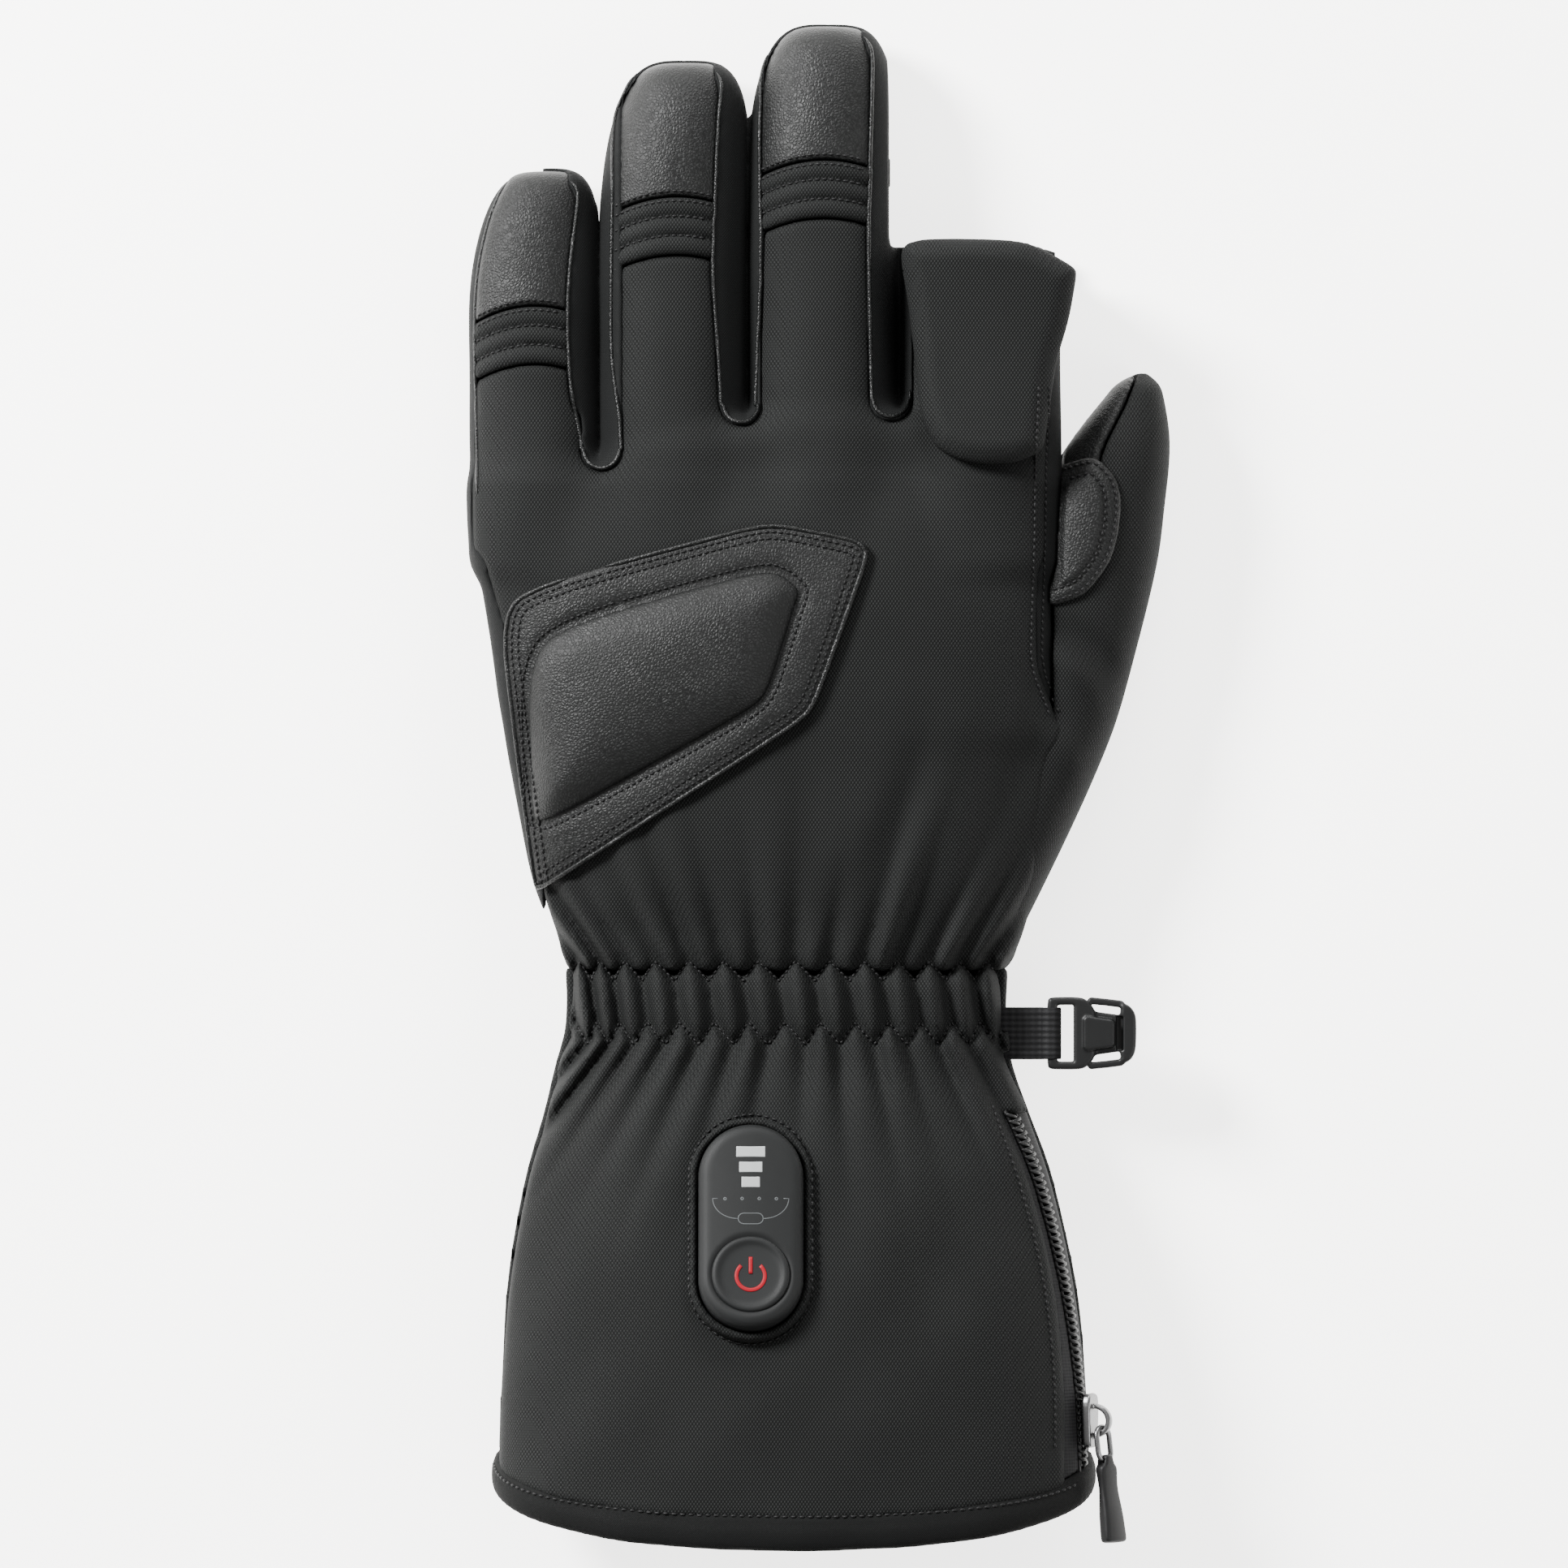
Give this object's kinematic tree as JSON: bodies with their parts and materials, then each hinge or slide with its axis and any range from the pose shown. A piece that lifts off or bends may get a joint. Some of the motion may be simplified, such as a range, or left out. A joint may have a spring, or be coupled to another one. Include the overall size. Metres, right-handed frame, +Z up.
{
  "type": "heated glove",
  "caption": "Insulated gauntlet glove for the left hand with leather fingertips, a fold-back index hood, a gathered wrist, a side zip and a heat controller on the cuff.",
  "frame": {"origin": "under the middle of the palm, on the plane that the glove rests on", "axes": "+X to the thumb side, +Y to the fingertips, +Z up from the back of the hand"},
  "size_m": [0.1496, 0.3213, 0.0584],
  "materials": {
    "softshell": "matte dotted twill softshell, near black",
    "side_cloth": "matte stretch cloth of the finger side strips",
    "leather": "pebbled grain, semi matt, near black",
    "binding": "matt folded binding tape with a stitched row",
    "zip_tape": "fine woven tape",
    "zip_teeth": "moulded coil, satin",
    "zip_metal": "dark nickel plated zinc",
    "pull_rubber": "moulded soft rubber",
    "webbing": "ribbed narrow webbing",
    "clip_plastic": "moulded acetal, fine texture",
    "case_plastic": "smooth soft-touch moulding",
    "button_rubber": "dished silicone membrane with a red power symbol",
    "level_light": "translucent light-grey window"
  },
  "bodies": {
    "root": {"back_panel": "softshell", "palm_panel": "leather", "ulnar_gusset": "side_cloth", "fourchette_pinky_ring": "side_cloth", "fourchette_ring_middle": "side_cloth", "fourchette_middle_index": "side_cloth", "radial_gusset": "side_cloth", "thumb_back": "softshell", "thumb_front": "leather", "thumb_patch": "leather", "pinky_cap": "leather", "ring_cap": "leather", "middle_cap": "leather", "pinky_ribs": "softshell", "ring_ribs": "softshell", "middle_ribs": "softshell", "index_hood": "softshell", "knuckle_guard": "leather", "knuckle_pad": "leather", "cuff_back": "softshell", "cuff_palm": "softshell", "hem_binding": "binding", "zip_tape_front": "zip_tape", "zip_tape_back": "zip_tape", "zip_chain": "zip_teeth", "zip_slider": "zip_metal", "zip_ring": "zip_metal", "zip_pull": "pull_rubber", "clip_strap": "webbing", "clip_buckle": "clip_plastic", "module_collar": "softshell", "module_case": "case_plastic", "module_button": "button_rubber", "level_bar_1": "level_light", "level_bar_2": "level_light", "level_bar_3": "level_light"}
  },
  "joints": []
}
